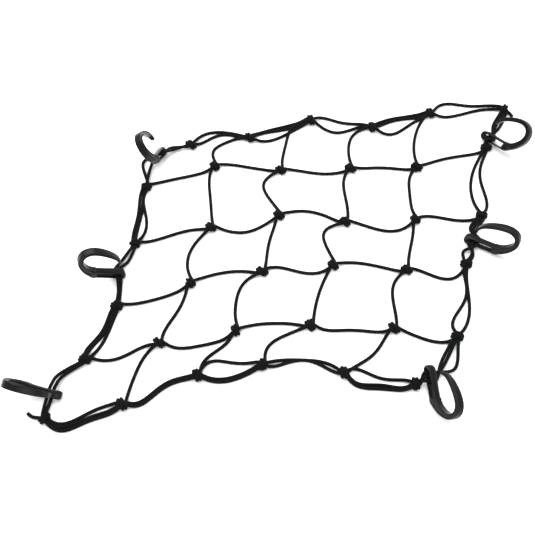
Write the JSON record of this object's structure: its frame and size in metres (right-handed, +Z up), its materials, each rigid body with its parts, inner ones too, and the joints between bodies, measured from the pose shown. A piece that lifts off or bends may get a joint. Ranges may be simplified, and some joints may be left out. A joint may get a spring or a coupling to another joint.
{
  "type": "elastic cargo net with hooks",
  "caption": "Knotted elastic cord net with square meshes, lying spread out, with moulded plastic hooks threaded on its two side borders.",
  "frame": {"origin": "centre of the part's bounding box, on the floor that the net lies on", "axes": "+X to the right along the net's rows, +Y towards its far border, +Z up"},
  "size_m": [0.5826, 0.4016, 0.0566],
  "materials": {
    "braided_cord": "matt charcoal-black braided elastic cord",
    "moulded_plastic": "satin near-black moulded plastic"
  },
  "bodies": {
    "root": {"net": "braided_cord", "hook_far_left": "moulded_plastic", "hook_mid_left": "moulded_plastic", "hook_near_left": "moulded_plastic", "hook_far_right": "moulded_plastic", "hook_mid_right": "moulded_plastic", "hook_near_right": "moulded_plastic"}
  },
  "joints": []
}
